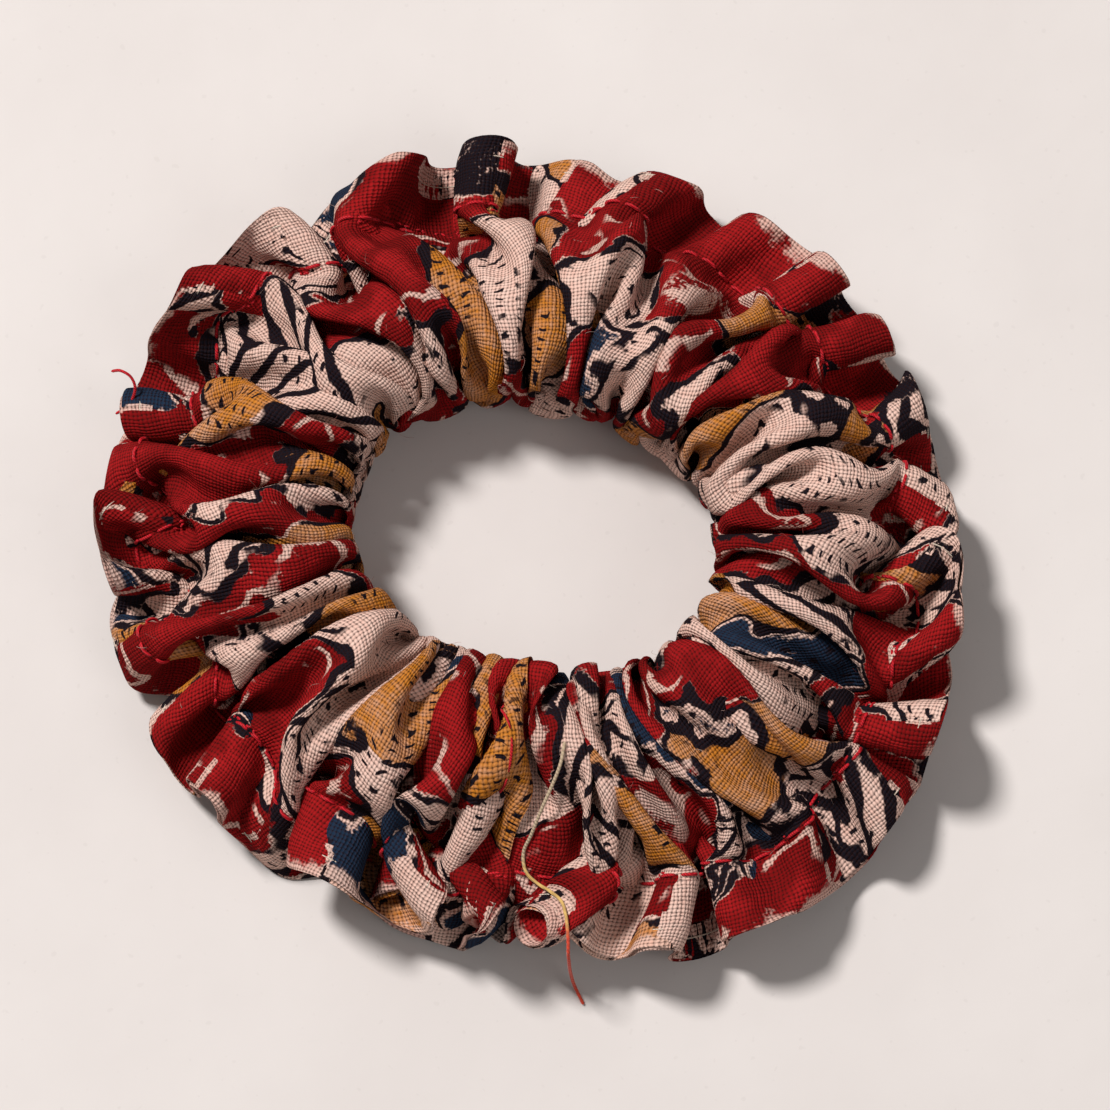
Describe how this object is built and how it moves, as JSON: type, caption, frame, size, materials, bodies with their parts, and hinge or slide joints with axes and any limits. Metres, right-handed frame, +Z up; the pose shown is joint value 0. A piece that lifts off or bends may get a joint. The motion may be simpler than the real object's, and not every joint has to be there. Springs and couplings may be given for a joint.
{
  "type": "scrunchie",
  "caption": "Gathered ring of printed cotton over an elastic band, with a topstitched frill round its outer edge, lying flat.",
  "frame": {"origin": "bottom centre of the scrunchie's box, on the surface it lies on, without the loose yarn", "axes": "+Z up, through the hair opening; +X to the right and +Y away from the side where the strip's ends lap"},
  "size_m": [0.1024, 0.1022, 0.0194],
  "materials": {
    "printed_cotton": "plain-weave cotton, printed in red, cream, mustard, black and indigo, matt",
    "braided_elastic": "flat braided elastic, off-white, matt",
    "red_thread": "twisted sewing thread, red, slight sheen",
    "pale_thread": "twisted sewing thread, cream, slight sheen",
    "cotton_yarn": "single cotton yarn frayed from the cloth, cream to orange red, matt"
  },
  "bodies": {
    "root": {"cover_cloth": "printed_cotton", "elastic_band": "braided_elastic", "elastic_lap_stitches": "pale_thread", "topstitch_needle_thread": "red_thread", "topstitch_bobbin_thread": "red_thread", "edge_seam_thread": "pale_thread", "end_lap_stitches": "red_thread", "loose_yarn": "cotton_yarn", "thread_tail": "red_thread"}
  },
  "joints": []
}
